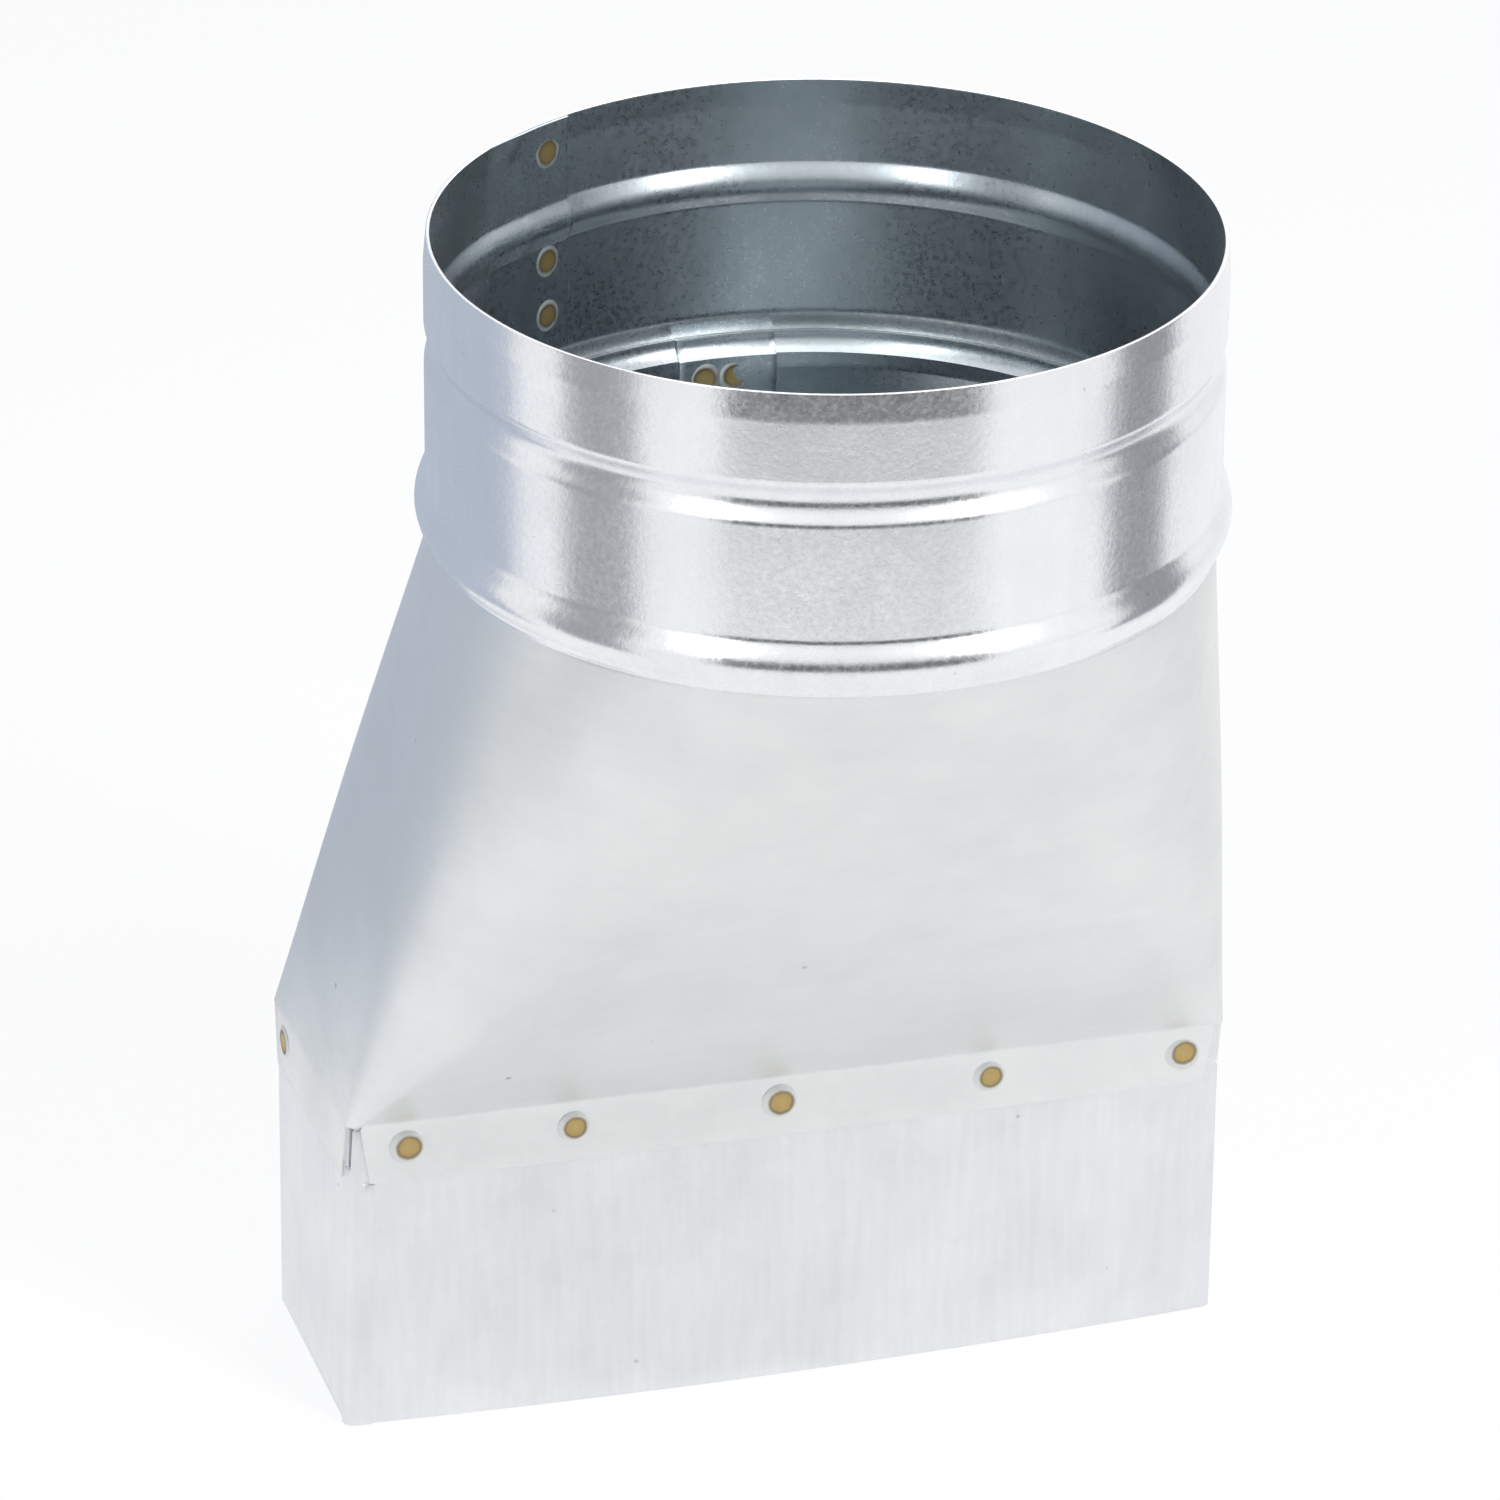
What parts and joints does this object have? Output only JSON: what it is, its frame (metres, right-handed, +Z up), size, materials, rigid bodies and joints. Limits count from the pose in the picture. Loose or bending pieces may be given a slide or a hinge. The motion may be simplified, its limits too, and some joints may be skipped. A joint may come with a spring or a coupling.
{
  "type": "flat duct adapter",
  "caption": "Galvanised sheet-metal duct adapter: a rectangular end, an offset square-to-round transition with folded flaps, and a round collar with groove and stop bead.",
  "frame": {"origin": "on the collar's axis, in the plane of the rectangular end's lower edge, which is the bottom centre of the bounding box", "axes": "+Z up along the collar's axis, out of its rim; +X along the width of the rectangular end; +Y to the back, where the rectangular end is flush with the collar"},
  "size_m": [0.1512, 0.1278, 0.2113],
  "materials": {
    "collar_zinc": "bright galvanised",
    "transition_zinc": "galvanised, lightly mottled",
    "duct_end_zinc": "galvanised, fine brushing"
  },
  "bodies": {
    "root": {"collar": "collar_zinc", "transition": "transition_zinc", "duct_end": "duct_end_zinc"}
  },
  "joints": []
}
